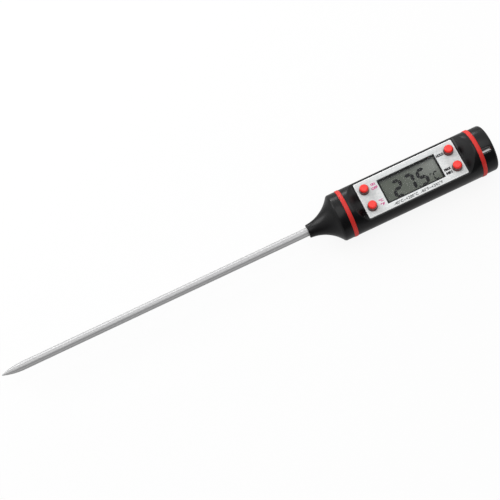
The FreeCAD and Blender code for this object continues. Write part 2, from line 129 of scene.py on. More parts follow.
# ---------------------------------------------------------------- mesh tools
def turned(outline: Profile, steps: int, rounds: dict[int, float]) -> bmesh.types.BMesh:
    """Turns an outline into a closed round solid about the handle's axis.

    Args:
        outline: Corners as (place along the axis, radius), from axis to axis or as a loop.
        steps: Number of flats in a full turn.
        rounds: Radius of the rounding at the corner with that index.

    Returns:
        The solid as a bmesh, with its normals outward.
    """
    bm = bmesh.new()
    corners = [bm.verts.new((place, 0, r)) for place, r in outline]
    pairs = list(zip(corners, corners[1:]))
    if outline[0][1] > 0:
        pairs.append((corners[-1], corners[0]))
    for pair in pairs:
        bm.edges.new(pair)
    for index, radius in rounds.items():
        bmesh.ops.bevel(bm, geom=[corners[index]], offset=radius, offset_type="OFFSET",
                        segments=ROUND_SEGMENTS, profile=0.5, affect="VERTICES", material=-1)
    bmesh.ops.spin(bm, geom=bm.verts[:] + bm.edges[:], cent=(0, 0, 0), axis=ALONG,
                   dvec=(0, 0, 0), angle=FULL_TURN, steps=steps, use_merge=True)
    bmesh.ops.remove_doubles(bm, verts=bm.verts, dist=MERGE)
    bmesh.ops.recalc_face_normals(bm, faces=bm.faces)
    return bm


def merged_copy(node: str) -> bmesh.types.BMesh:
    """Copy of a solid's mesh with its loose triangles joined into one skin.

    Args:
        node: Name of the solid.

    Returns:
        The joined copy, in place.
    """
    bm = bmesh.new()
    bm.from_mesh(frame["nodes"][node].data)
    bmesh.ops.remove_doubles(bm, verts=bm.verts, dist=MERGE)
    bmesh.ops.dissolve_limit(bm, angle_limit=math.radians(FLAT_ANGLE), verts=bm.verts,
                            edges=bm.edges)
    return bm


def soften(bm: bmesh.types.BMesh, width: float, angle: float,
           chosen: Optional[Callable[[Vector], bool]] = None, segments: int = 2) -> None:
    """Rounds the sharp edges of a solid.

    Args:
        bm: The solid.
        width: Width that the rounding takes off each face.
        angle: Edges that turn more than this many degrees are sharp.
        chosen: Says by its middle whether an edge is rounded; every sharp edge is by default.
        segments: Number of flats in the rounding.
    """
    limit = math.radians(angle)
    edges = []
    for edge in bm.edges:
        middle = (edge.verts[0].co + edge.verts[1].co) / 2
        if edge.is_manifold and edge.calc_face_angle() > limit and (chosen is None or chosen(middle)):
            edges.append(edge)
    bmesh.ops.bevel(bm, geom=edges, offset=width, offset_type="OFFSET", segments=segments,
                    profile=0.5, affect="EDGES", material=-1, clamp_overlap=True)


def thicken(bm: bmesh.types.BMesh, thickness: float) -> None:
    """Raises flat forms into closed ones, upward.

    Args:
        bm: The flat forms.
        thickness: How thick they become.
    """
    raised = bmesh.ops.extrude_face_region(bm, geom=bm.faces[:], use_keep_orig=True)
    top = [v for v in raised["geom"] if isinstance(v, bmesh.types.BMVert)]
    bmesh.ops.translate(bm, vec=(0, 0, thickness), verts=top)
    bmesh.ops.recalc_face_normals(bm, faces=bm.faces)


def as_object(name: str, bm: bmesh.types.BMesh) -> bpy.types.Object:
    """Puts a bmesh into a new object at the origin and frees it.

    Args:
        name: Name of the object and of its mesh.
        bm: The form, which is used up.

    Returns:
        The object.
    """
    mesh = bpy.data.meshes.new(name)
    bm.to_mesh(mesh)
    bm.free()
    made = bpy.data.objects.new(name, mesh)
    bpy.context.scene.collection.objects.link(made)
    return made


def carved(bm: bmesh.types.BMesh, cutters: Iterable[bmesh.types.BMesh]) -> bmesh.types.BMesh:
    """Cuts closed forms out of a solid.

    Args:
        bm: The solid, which is used up.
        cutters: The forms to take away, which are used up.

    Returns:
        The solid that is left.
    """
    target = as_object("carving", bm)
    tools = [as_object("cutter", cutter) for cutter in cutters]
    for tool in tools:
        cut = target.modifiers.new("cut", "BOOLEAN")
        cut.operation = "DIFFERENCE"
        cut.solver = "EXACT"
        cut.object = tool
    left = bmesh.new()
    left.from_object(target, bpy.context.evaluated_depsgraph_get())
    for used in [target, *tools]:
        mesh = used.data
        bpy.data.objects.remove(used)
        bpy.data.meshes.remove(mesh)
    bmesh.ops.remove_doubles(left, verts=left.verts, dist=MERGE)
    return left


@dataclass(frozen=True)
class Piece:
    """How a finished mesh joins the thermometer."""

    name: str
    body: Body
    slot: str
    replaces: tuple[str, ...] = ()
    crease: float = 32.0            # edges that turn more degrees than this stay sharp

    def make(self, bm: bmesh.types.BMesh, finish: "Finish") -> bpy.types.Object:
        """Makes the object, shades it, dresses it and lets it ride on its body.

        Args:
            bm: The finished form, which is used up.
            finish: What its surface is made of.

        Returns:
            The new object.
        """
        limit = math.radians(self.crease)
        for face in bm.faces:
            face.smooth = True
        for edge in bm.edges:
            edge.smooth = not edge.is_manifold or edge.calc_face_angle() < limit
        made = as_object(self.name, bm)
        made.data.materials.append(finish.material())
        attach(made, self.body.value)
        if self.replaces:
            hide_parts(*self.replaces)
        LOG.info("%s: %d faces on %s", self.name, len(made.data.polygons), self.body.value)
        return made


# ---------------------------------------------------------------- node trees
class Tree:
    """Adds and joins the nodes of one node tree."""

    def __init__(self, tree: bpy.types.NodeTree) -> None:
        """Wraps a node tree."""
        self.tree = tree

    def add(self, kind: str, **settings: object) -> bpy.types.Node:
        """Adds a node and sets its properties.

        Args:
            kind: Blender's name of the node type.
            **settings: Properties of the node.

        Returns:
            The node.
        """
        node = self.tree.nodes.new(kind)
        for name, value in settings.items():
            setattr(node, name, value)
        return node

    def join(self, source: bpy.types.NodeSocket, target: bpy.types.NodeSocket) -> None:
        """Links an output to an input."""
        self.tree.links.new(source, target)

    def point(self) -> bpy.types.bpy_prop_collection:
        """X, Y and Z of the point that is shaded, in the frame of the solids."""
        parts = self.add("ShaderNodeSeparateXYZ")
        self.join(self.add("ShaderNodeTexCoord").outputs["Object"], parts.inputs["Vector"])
        return parts.outputs

    def noise(self, place: bpy.types.NodeSocket, scale: object, detail: float) -> bpy.types.Node:
        """Adds a noise texture.

        Args:
            place: Coordinates it reads.
            scale: Its scale, as a number or as a socket to follow.
            detail: Octaves of finer noise.

        Returns:
            The noise node.
        """
        node = self.add("ShaderNodeTexNoise")
        node.inputs["Detail"].default_value = detail
        self.join(place, node.inputs["Vector"])
        if isinstance(scale, bpy.types.NodeSocket):
            self.join(scale, node.inputs["Scale"])
        else:
            node.inputs["Scale"].default_value = scale
        return node

    def math(self, operation: str, *values: object) -> bpy.types.NodeSocket:
        """Works out one sum of sockets and plain numbers.

        Args:
            operation: Blender's name of the sum.
            *values: What it works on, sockets or plain numbers.

        Returns:
            The socket of the result.
        """
        node = self.add("ShaderNodeMath", operation=operation)
        for index, value in enumerate(values):
            if isinstance(value, bpy.types.NodeSocket):
                self.join(value, node.inputs[index])
            else:
                node.inputs[index].default_value = value
        return node.outputs["Value"]

    def ramp(self, value: bpy.types.NodeSocket, low: float, high: float) -> bpy.types.NodeSocket:
        """Stretches a value so that low becomes 0 and high becomes 1, smoothly.

        Args:
            value: Socket of the value.
            low: Where the ramp starts.
            high: Where it ends.

        Returns:
            The socket of the stretched value.
        """
        node = self.add("ShaderNodeMapRange", interpolation_type="SMOOTHSTEP")
        node.inputs["From Min"].default_value = low
        node.inputs["From Max"].default_value = high
        self.join(value, node.inputs["Value"])
        return node.outputs["Result"]

    def blend(self, share: bpy.types.NodeSocket, a: object, b: object) -> bpy.types.NodeSocket:
        """Mixes two colours, each a socket or a plain colour.

        Args:
            share: How much of b shows.
            a: First colour.
            b: Second colour.

        Returns:
            The mixed colour's socket.
        """
        node = self.add("ShaderNodeMix", data_type="RGBA")
        self.join(share, node.inputs["Factor"])
        for source, index in ((a, MIX_A), (b, MIX_B)):
            if isinstance(source, bpy.types.NodeSocket):
                self.join(source, node.inputs[index])
            else:
                node.inputs[index].default_value = (*source, 1.0)
        return node.outputs[MIX_COLOUR]


def surface_group() -> bpy.types.NodeTree:
    """Shared surface effect: clouded colour and gloss over a fine grain.

    Returns:
        The node group, made on the first call.
    """
    name = "clouded_surface"
    if name in bpy.data.node_groups:
        return bpy.data.node_groups[name]
    group = bpy.data.node_groups.new(name, "ShaderNodeTree")
    sockets = group.interface
    for label, kind in (("Dark", "NodeSocketColor"), ("Light", "NodeSocketColor"),
                        ("Smooth", "NodeSocketFloat"), ("Rough", "NodeSocketFloat"),
                        ("Cloud Scale", "NodeSocketFloat"), ("Grain Scale", "NodeSocketFloat"),
                        ("Grain Depth", "NodeSocketFloat"), ("Stretch", "NodeSocketVector")):
        sockets.new_socket(name=label, in_out="INPUT", socket_type=kind)
    for label, kind in (("Colour", "NodeSocketColor"), ("Roughness", "NodeSocketFloat"),
                        ("Normal", "NodeSocketVector")):
        sockets.new_socket(name=label, in_out="OUTPUT", socket_type=kind)
    tree = Tree(group)
    given = tree.add("NodeGroupInput").outputs
    out = tree.add("NodeGroupOutput").inputs
    place = tree.add("ShaderNodeTexCoord").outputs["Object"]
    drawn = tree.add("ShaderNodeVectorMath", operation="MULTIPLY")
    tree.join(place, drawn.inputs[0])
    tree.join(given["Stretch"], drawn.inputs[1])
    cloud = tree.noise(drawn.outputs["Vector"], given["Cloud Scale"], CLOUD_DETAIL)
    share = tree.ramp(cloud.outputs["Fac"], *CLOUD_EDGES)
    tree.join(tree.blend(share, given["Dark"], given["Light"]), out["Colour"])
    gloss = tree.add("ShaderNodeMix", data_type="FLOAT")
    tree.join(share, gloss.inputs["Factor"])
    tree.join(given["Smooth"], gloss.inputs["A"])
    tree.join(given["Rough"], gloss.inputs["B"])
    tree.join(gloss.outputs["Result"], out["Roughness"])
    grain = tree.noise(drawn.outputs["Vector"], given["Grain Scale"], GRAIN_DETAIL)
    bump = tree.add("ShaderNodeBump")
    tree.join(grain.outputs["Fac"], bump.inputs["Height"])
    tree.join(given["Grain Depth"], bump.inputs["Distance"])
    tree.join(bump.outputs["Normal"], out["Normal"])
    return group


# ---------------------------------------------------------------- finishes
@dataclass(frozen=True)
class Finish:
    """An opaque surface: two close tones, a range of gloss and a fine grain."""

    name: str
    dark: Colour
    light: Colour
    smooth: float                   # roughness where the surface is glossiest
    rough: float                    # and where it is dullest
    metallic: float = 0.0
    specular: float = 0.5
    coat: float = 0.0
    ior: float = 1.5
    grain: float = 0.3 * MM         # size of the grain
    depth: float = 0.003 * MM
    cloud: float = 7.0 * MM         # size of the clouds in tone and gloss
    stretch: tuple[float, float, float] = (1.0, 1.0, 1.0)

    def material(self) -> bpy.types.Material:
        """The finish as a material, made on the first call.

        Returns:
            The material.
        """
        title = self.name + "_finish"
        if title in bpy.data.materials:
            return bpy.data.materials[title]
        made = bpy.data.materials.new(title)
        made.use_nodes = True
        tree = Tree(made.node_tree)
        shader = made.node_tree.nodes["Principled BSDF"]
        shader.inputs["Metallic"].default_value = self.metallic
        shader.inputs["Specular IOR Level"].default_value = self.specular
        shader.inputs["Coat Weight"].default_value = self.coat
        shader.inputs["IOR"].default_value = self.ior
        surface = tree.add("ShaderNodeGroup", node_tree=surface_group())
        values = {"Dark": (*self.dark, 1.0), "Light": (*self.light, 1.0), "Smooth": self.smooth,
                  "Rough": self.rough, "Cloud Scale": 1 / self.cloud, "Grain Scale": 1 / self.grain,
                  "Grain Depth": self.depth, "Stretch": self.stretch}
        for label, value in values.items():
            surface.inputs[label].default_value = value
        tree.join(self.colour(tree, surface.outputs["Colour"]), shader.inputs["Base Color"])
        tree.join(surface.outputs["Roughness"], shader.inputs["Roughness"])
        tree.join(surface.outputs["Normal"], shader.inputs["Normal"])
        self.complete(tree, shader)
        return made

    def colour(self, tree: Tree, clouded: bpy.types.NodeSocket) -> bpy.types.NodeSocket:
        """Colour of the surface, given its clouded tones."""
        return clouded

    def complete(self, tree: Tree, shader: bpy.types.Node) -> None:
        """Sets what only this kind of finish has."""


@dataclass(frozen=True)
class DrawnSteelWithPaintedBands(Finish):
    """Drawn tube with long painted reflection bands round it, set by the angle about its axis."""

    # painted reflection: tone of the darker bands round the stem
    reflection_band: Colour = (0.40, 0.40, 0.405)
    bands: float = 9.0
    turn: float = 0.9               # where the first band lies round the axis, in radians
    band_from: float = -0.1         # height of the wave where a band starts
    band_full: float = 0.8

    def colour(self, tree: Tree, clouded: bpy.types.NodeSocket) -> bpy.types.NodeSocket:
        """Adds painted reflection bands to the plain tone, by the angle round the X axis.

        Args:
            tree: Node tree of the material.
            clouded: Socket of the plain clouded tone.

        Returns:
            The colour's socket.
        """
        # painted reflection bands: a wave of tone by the angle round the axis
        point = tree.point()
        angle = tree.math("ARCTAN2", point["Y"], point["Z"])
        phase = tree.math("ADD", tree.math("MULTIPLY", angle, self.bands), self.turn)
        wave = tree.math("SINE", phase)
        return tree.blend(tree.ramp(wave, self.band_from, self.band_full), clouded, self.reflection_band)


@dataclass(frozen=True)
class Rubber(Finish):
    """Soft moulded silicone with a faint bloom."""

    bloom: float = 0.12
    bloom_rough: float = 0.4

    def complete(self, tree: Tree, shader: bpy.types.Node) -> None:
        """Adds the bloom that silicone shows at a flat angle."""
        shader.inputs["Sheen Weight"].default_value = self.bloom
        shader.inputs["Sheen Roughness"].default_value = self.bloom_rough


@dataclass(frozen=True)
class Clear(Finish):
    """Clear plastic that shows what lies under it."""

    cover: float = 0.03

    def complete(self, tree: Tree, shader: bpy.types.Node) -> None:
        """Lets light straight through, apart from a thin share of gloss."""
        shader.inputs["Alpha"].default_value = self.cover


@dataclass(frozen=True)
class Display(Finish):
    """Reflective display cell, paler towards one corner by a painted reflection and darker along its
    upper edge by a painted shadow.
    """

    # pale is the tone of a painted reflection, shade that of a painted shadow of the window's upper
    # edge
    pale: Colour = (0.235, 0.25, 0.23)
    shade: Colour = (0.055, 0.06, 0.058)
    pale_from: float = 46 * MM      # where the paler corner starts, along the handle
    pale_to: float = 66 * MM
    pale_foot: float = -5 * MM      # and across it
    pale_head: float = 2 * MM
    shade_from: float = 3.4 * MM    # where the shade of the upper edge starts
    shade_to: float = 6.0 * MM

    def colour(self, tree: Tree, clouded: bpy.types.NodeSocket) -> bpy.types.NodeSocket:
        """Adds the painted reflection in one corner and the painted shadow along the upper edge to the
        plain tone.

        Args:
            tree: Node tree of the material.
            clouded: Socket of the plain clouded tone.

        Returns:
            The colour's socket.
        """
        point = tree.point()
        # painted reflection: paler towards one corner
        corner = tree.math("MULTIPLY", tree.ramp(point["X"], self.pale_from, self.pale_to),
                           tree.ramp(point["Y"], self.pale_foot, self.pale_head))
        paler = tree.blend(corner, clouded, self.pale)
        # painted shadow: darker along the upper edge
        edge = tree.ramp(point["Y"], self.shade_from, self.shade_to)
        return tree.blend(edge, paler, self.shade)


@dataclass(frozen=True)
class KeyTop(Finish):
    """Push button with a bright touch face and painted shade on its lower flank."""

    # tone of the painted shade on the button's lower flank
    skirt_shade: Colour = (0.13, 0.005, 0.004)
    skirt_drop: float = 0.95 * MM   # where the skirt's tone is full, below the top
    face_drop: float = 0.50 * MM    # and where the touch face's starts

    def colour(self, tree: Tree, clouded: bpy.types.NodeSocket) -> bpy.types.NodeSocket:
        """Paints shade on the flank below the touch face.

        Args:
            tree: Node tree of the material.
            clouded: Socket of the plain clouded tone.

        Returns:
            The colour's socket.
        """
        top = Extent.of("button_power").high.z
        point = tree.point()
        # painted shade: darker below the touch face, by height
        share = tree.ramp(point["Z"], top - self.skirt_drop, top - self.face_drop)
        return tree.blend(share, self.skirt_shade, clouded)


@dataclass(frozen=True)
class PlateWithPaintedRimHighlight(Finish):
    """Sheet with a painted highlight along its rim and a fine grey line inside it."""

    # tone of the painted highlight along the plate's bevelled rim
    border: Colour = (0.88, 0.89, 0.89)
    line: Colour = (0.50, 0.52, 0.52)
    rim_highlight_width: float = 0.55 * MM
    line_width: float = 0.13 * MM
    blur: float = 0.05 * MM

    def colour(self, tree: Tree, clouded: bpy.types.NodeSocket) -> bpy.types.NodeSocket:
        """Adds the painted highlight along the rim and the fine grey line inside it to the plain tone.

        Args:
            tree: Node tree of the material.
            clouded: Socket of the plain clouded tone.

        Returns:
            The colour's socket.
        """
        box = Extent.of("faceplate")
        point = tree.point()
        reach = []
        for axis, middle, half in (("X", box.centre.x, (box.high.x - box.low.x) / 2),
                                   ("Y", box.centre.y, (box.high.y - box.low.y) / 2)):
            off = tree.math("SUBTRACT", point[axis], middle)
            reach.append(tree.math("SUBTRACT", tree.math("ABSOLUTE", off), half))
        depth = tree.math("MULTIPLY", tree.math("MAXIMUM", *reach), -1.0)
        inner = self.rim_highlight_width + self.line_width
        lined = tree.blend(tree.ramp(depth, inner, inner + self.blur), self.line, clouded)
        # painted highlight: whiter band along the plate's rim
        return tree.blend(tree.ramp(depth, self.rim_highlight_width, self.rim_highlight_width + self.blur),
                          self.border, lined)


FINISHES: dict[str, Finish] = {
    "black_plastic": Finish("black_plastic", (0.002, 0.002, 0.0025), (0.005, 0.005, 0.0055),
                            0.24, 0.34, specular=0.22, depth=0.004 * MM),
    # steel of the stem, with painted reflection bands round it
    "stainless": DrawnSteelWithPaintedBands("stainless", (0.53, 0.53, 0.535), (0.61, 0.61, 0.605), 0.56, 0.66,
                            metallic=0.35, specular=0.3, depth=0.0, cloud=1.3 * MM,
                            stretch=(0.004, 1.0, 1.0)),
    "sealant": Rubber("sealant", (0.02, 0.02, 0.02), (0.035, 0.035, 0.035), 0.5, 0.65),
    "red_silicone": Rubber("red_silicone", (0.60, 0.018, 0.013), (0.70, 0.026, 0.018), 0.42, 0.55,
                           specular=0.35, bloom=0.04),
    # faceplate, with a painted highlight along its rim
    "silver_plate": PlateWithPaintedRimHighlight("silver_plate", (0.66, 0.69, 0.69), (0.78, 0.79, 0.79),
                                 0.42, 0.55, grain=0.22 * MM, depth=0.003 * MM, cloud=0.9 * MM),
    "clear_window": Clear("clear_window", (0.10, 0.11, 0.11), (0.14, 0.15, 0.15), 0.04, 0.08),
    "dark_frame": Finish("dark_frame", (0.004, 0.004, 0.004), (0.009, 0.009, 0.009), 0.5, 0.6,
                         specular=0.15),
    "lcd_glass": Display("lcd_glass", (0.096, 0.109, 0.089), (0.110, 0.122, 0.101), 0.3, 0.36,
                         specular=0.2, depth=0.0),
    "elastomer": Rubber("elastomer", (0.30, 0.30, 0.33), (0.48, 0.48, 0.52), 0.6, 0.7,
                        cloud=0.4 * MM),
    "board_green": Finish("board_green", (0.012, 0.13, 0.035), (0.03, 0.24, 0.08), 0.25, 0.4,
                          cloud=2.0 * MM),
    "black_resin": Finish("black_resin", (0.012, 0.012, 0.013), (0.03, 0.03, 0.03), 0.2, 0.35),
    "ceramic": Finish("ceramic", (0.40, 0.29, 0.17), (0.58, 0.45, 0.30), 0.35, 0.5,
                      cloud=0.5 * MM),
    "solder": Finish("solder", (0.60, 0.60, 0.62), (0.78, 0.78, 0.79), 0.2, 0.35, metallic=1.0,
                     cloud=0.5 * MM),
    "switch_metal": Finish("switch_metal", (0.48, 0.48, 0.49), (0.62, 0.62, 0.62), 0.28, 0.4,
                           metallic=1.0, cloud=1.0 * MM),
    "zinc_steel": Finish("zinc_steel", (0.55, 0.56, 0.58), (0.72, 0.72, 0.72), 0.22, 0.34,
                         metallic=1.0, cloud=0.8 * MM),
    "sensor_glass": Finish("sensor_glass", (0.28, 0.14, 0.06), (0.42, 0.24, 0.12), 0.08, 0.15,
                           coat=0.6, cloud=0.6 * MM),
    "potting": Finish("potting", (0.74, 0.74, 0.70), (0.86, 0.86, 0.83), 0.4, 0.55,
                      cloud=0.8 * MM),
    "wire_jacket": Finish("wire_jacket", (0.50, 0.035, 0.028), (0.66, 0.06, 0.05), 0.35, 0.5),
    "white_plastic": Finish("white_plastic", (0.72, 0.72, 0.70), (0.82, 0.82, 0.80), 0.35, 0.5),
    "cell_steel": Finish("cell_steel", (0.58, 0.58, 0.57), (0.72, 0.72, 0.70), 0.18, 0.3,
                         metallic=1.0),
    "contact_metal": Finish("contact_metal", (0.62, 0.59, 0.50), (0.78, 0.75, 0.66), 0.2, 0.32,
                            metallic=1.0, cloud=1.0 * MM),
    "red_button": KeyTop("red_button", (0.97, 0.028, 0.020), (1.0, 0.038, 0.028), 0.24, 0.34,
                         specular=0.4, cloud=2.0 * MM),
}
NOTCH_GLOSS = Finish("notch_gloss", (0.004, 0.004, 0.0045), (0.006, 0.006, 0.0065), 0.16, 0.20,
                     specular=0.8, coat=1.0, ior=1.9, depth=0.001 * MM)
INK_BLACK = Finish("ink_black", (0.006, 0.006, 0.008), (0.014, 0.014, 0.018), 0.4, 0.55,
                   specular=0.25, cloud=0.6 * MM)
INK_MAGENTA = Finish("ink_magenta", (0.50, 0.05, 0.20), (0.64, 0.10, 0.30), 0.4, 0.55,
                     cloud=0.6 * MM)
DISPLAY_INK = Finish("display_ink", (0.004, 0.004, 0.005), (0.008, 0.009, 0.010), 0.35, 0.45,
                     specular=0.15, cloud=1.0 * MM)


# ---------------------------------------------------------------- pieces: stem and rings
@dataclass(frozen=True)
class Stem:
    """Drawn steel stem with a swaged point and a small blunt nose."""

    box: Extent
    radius: float
    point_run: float = 10.4 * MM
    nose: float = 0.3 * MM
    nose_flat: float = 0.8          # flat face of the nose, as a share of the nose
    nose_round: float = 0.4         # and the rounding of its rim
    steps: int = 96
    curve_points: int = 12

    def outline(self) -> list[tuple[float, float]]:
        """Outline from the nose to the buried end, the point as one long arc.

        Returns:
            Corners as (place along the axis, radius).
        """
        tip = self.box.low.x
        rise = self.radius - self.nose
        run = self.point_run - self.nose
        arc = (run * run + rise * rise) / (2 * rise)
        points = [(tip, 0.0), (tip, self.nose * self.nose_flat)]
        for index in range(self.curve_points + 1):
            back = run * (1 - index / self.curve_points)
            drop = arc - math.sqrt(arc * arc - back * back)
            points.append((tip + self.point_run - back, self.radius - drop))
        return points + [(self.box.high.x, self.radius), (self.box.high.x, 0.0)]

    def build(self) -> None:
        """Makes the stem."""
        bm = turned(self.outline(), self.steps, {1: self.nose * self.nose_round})
        Piece("steel_stem", Body.HANDLE, "stainless", ("probe_stem",)).make(bm, FINISHES["stainless"])


@dataclass(frozen=True)
class SoftRing:
    """Silicone ring with rounded outer edges and a faint crown."""

    name: str
    node: str
    body: Body
    inner: float
    edge: float = 0.3 * MM
    crown: float = 0.05 * MM
    steps: int = 144

    def build(self) -> None:
        """Makes the ring inside the box of its solid."""
        box = Extent.of(self.node)
        x0, x1, middle, r = box.low.x, box.high.x, box.centre.x, box.radius
        outline = [(x0, self.inner), (x0, r - self.crown), (middle, r), (x1, r - self.crown),
                   (x1, self.inner)]
        bm = turned(outline, self.steps, {1: self.edge, 3: self.edge})
        Piece(self.name, self.body, "red_silicone", (self.node,)).make(bm, FINISHES["red_silicone"])


# ---------------------------------------------------------------- pieces: handle and face
@dataclass(frozen=True)
class Handle:
    """Moulded handle with softened edges, its faceplate and its window."""

    edge: float = 0.12 * MM
    plate_edge: float = 0.05 * MM
    sharp: float = 24.0             # degrees
    smooth_below: float = 40.0      # degrees, on the moulded shell
    seen_share: float = 0.4         # edges further out than this share of the radius are seen
    collar_reach: float = 1.0 * MM

    def build(self) -> None:
        """Makes the shell, the plate, the display frame and the window."""
        barrel = Extent.of("handle_body").radius

        def outside(middle: Vector) -> bool:
            """Whether an edge of the shell can be seen from outside."""
            return middle.yz.length > barrel * self.seen_share or middle.x < self.collar_reach

        shell = merged_copy("handle_body")
        soften(shell, self.edge, self.sharp, outside)
        Piece("handle_shell", Body.HANDLE, "black_plastic", ("handle_body",),
              self.smooth_below).make(shell, FINISHES["black_plastic"])
        for name, node, slot in (("face_plate", "faceplate", "silver_plate"),
                                 ("display_window", "lcd_window", "clear_window"),
                                 ("display_frame", "lcd_frame", "dark_frame")):
            bm = merged_copy(node)
            soften(bm, self.plate_edge, self.sharp)
            Piece(name, Body.HANDLE, slot, (node,)).make(bm, FINISHES[slot])


@dataclass(frozen=True)
class PushButton:
    """Round push button with a rounded rim on its tapered top."""

    key: str
    body: Body
    rim: float = 0.32 * MM          # rounding of the top's rim
    rim_zone: float = 0.2 * MM      # its edges lie this close to the top
    rim_angle: float = 20.0         # and turn more degrees than this
    rim_segments: int = 4
    step: float = 0.1 * MM          # rounding where the taper starts
    step_zone: tuple[float, float] = (0.8 * MM, 1.5 * MM)
    step_angle: float = 12.0
    step_segments: int = 3

    def build(self) -> None:
        """Makes the button and rounds the rim of its top."""
        node = "button_" + self.key
        top = Extent.of(node).high.z
        bm = merged_copy(node)
        near, far = self.step_zone
        soften(bm, self.rim, self.rim_angle, lambda middle: middle.z > top - self.rim_zone,
               self.rim_segments)
        soften(bm, self.step, self.step_angle, lambda middle: top - far < middle.z < top - near,
               self.step_segments)
        Piece("key_" + self.key, self.body, "red_button", (node,)).make(bm, FINISHES["red_button"])


# ---------------------------------------------------------------- pieces: print and reading
@dataclass(frozen=True)
class Label:
    """One line of plain printed lettering that lies on the faceplate."""

    name: str
    text: str
    centre: tuple[float, float]
    height: float
    width: float
    ink: Finish
    weight: float = 0.115 * MM      # how much each stroke is thickened on either side
    longest_corner: float = 1.3     # limit on a sharp corner's reach, as a share of the weight
    thickness: float = 0.012 * MM
    curve_steps: int = 3            # flats in one curve of a letter

    def flat_words(self) -> bmesh.types.BMesh:
        """Flat mesh of the words at their size and place on the plate.

        Returns:
            The words as a bmesh.
        """
        curve = bpy.data.curves.new(self.name, "FONT")
        curve.body = self.text
        curve.resolution_u = self.curve_steps
        words = bpy.data.objects.new(self.name, curve)
        bpy.context.scene.collection.objects.link(words)
        bpy.context.view_layer.update()
        mesh = bpy.data.meshes.new_from_object(words)
        bpy.data.objects.remove(words)
        bm = bmesh.new()
        bm.from_mesh(mesh)
        bpy.data.meshes.remove(mesh)
        low = Vector(min(v.co[i] for v in bm.verts) for i in range(3))
        high = Vector(max(v.co[i] for v in bm.verts) for i in range(3))
        size = high - low
        inner_width, inner_height = self.width - 2 * self.weight, self.height - 2 * self.weight
        fit = Matrix.Diagonal((inner_width / size.x, inner_height / size.y, 1, 1))
        move = Matrix.Translation((*self.centre, 0)) @ fit @ Matrix.Translation(-(low + high) / 2)
        bmesh.ops.transform(bm, matrix=move, verts=bm.verts)
        bmesh.ops.remove_doubles(bm, verts=bm.verts, dist=MERGE)
        return bm

    def embolden(self, bm: bmesh.types.BMesh) -> None:
        """Moves the outline of flat words outward.

        Args:
            bm: The words.
        """
        outward: dict[bmesh.types.BMVert, list[Vector]] = {}
        for edge in bm.edges:
            if edge.is_boundary:
                start, end = edge.verts
                side = (end.co - start.co).cross(Vector((0, 0, 1))).normalized()
                if side.dot(edge.link_faces[0].calc_center_median() - start.co) > 0:
                    side.negate()
                for vert in edge.verts:
                    outward.setdefault(vert, []).append(side)
        for vert, sides in outward.items():
            mean = sum(sides, Vector()) / len(sides)
            reach = min(1 / max(mean.length, MERGE), self.longest_corner)
            vert.co += mean.normalized() * reach * self.weight

    def build(self, level: float) -> None:
        """Prints the line.

        Args:
            level: Height of the surface that it is printed on.
        """
        bm = self.flat_words()
        self.embolden(bm)
        bmesh.ops.translate(bm, vec=(0, 0, level), verts=bm.verts)
        thicken(bm, self.thickness)
        Piece(self.name, Body.HANDLE, "silver_plate").make(bm, self.ink)


@dataclass(frozen=True)
class WindowMask:
    """Black border printed on the underside of the window."""

    border: float = 0.75 * MM       # inside the window's own edge
    clearance: float = 0.01 * MM
    thickness: float = 0.03 * MM

    def build(self) -> None:
        """Prints the border."""
        window = Extent.of("lcd_window")
        top = window.low.z - self.clearance
        centre = Matrix.Translation((window.centre.x, window.centre.y, top - self.thickness))
        size = window.high - window.low
        bm = bmesh.new()
        bmesh.ops.create_grid(bm, x_segments=1, y_segments=1, size=0.5,
                              matrix=centre @ Matrix.Diagonal((size.x, size.y, 1, 1)))
        middle = bm.faces[:]
        bmesh.ops.inset_region(bm, faces=middle, thickness=self.border, depth=0.0,
                               use_boundary=True, use_even_offset=True)
        bmesh.ops.delete(bm, geom=middle, context="FACES")
        bmesh.ops.solidify(bm, geom=bm.faces[:], thickness=self.thickness)
        bmesh.ops.recalc_face_normals(bm, faces=bm.faces)
        Piece("window_border", Body.HANDLE, "dark_frame").make(bm, FINISHES["dark_frame"])


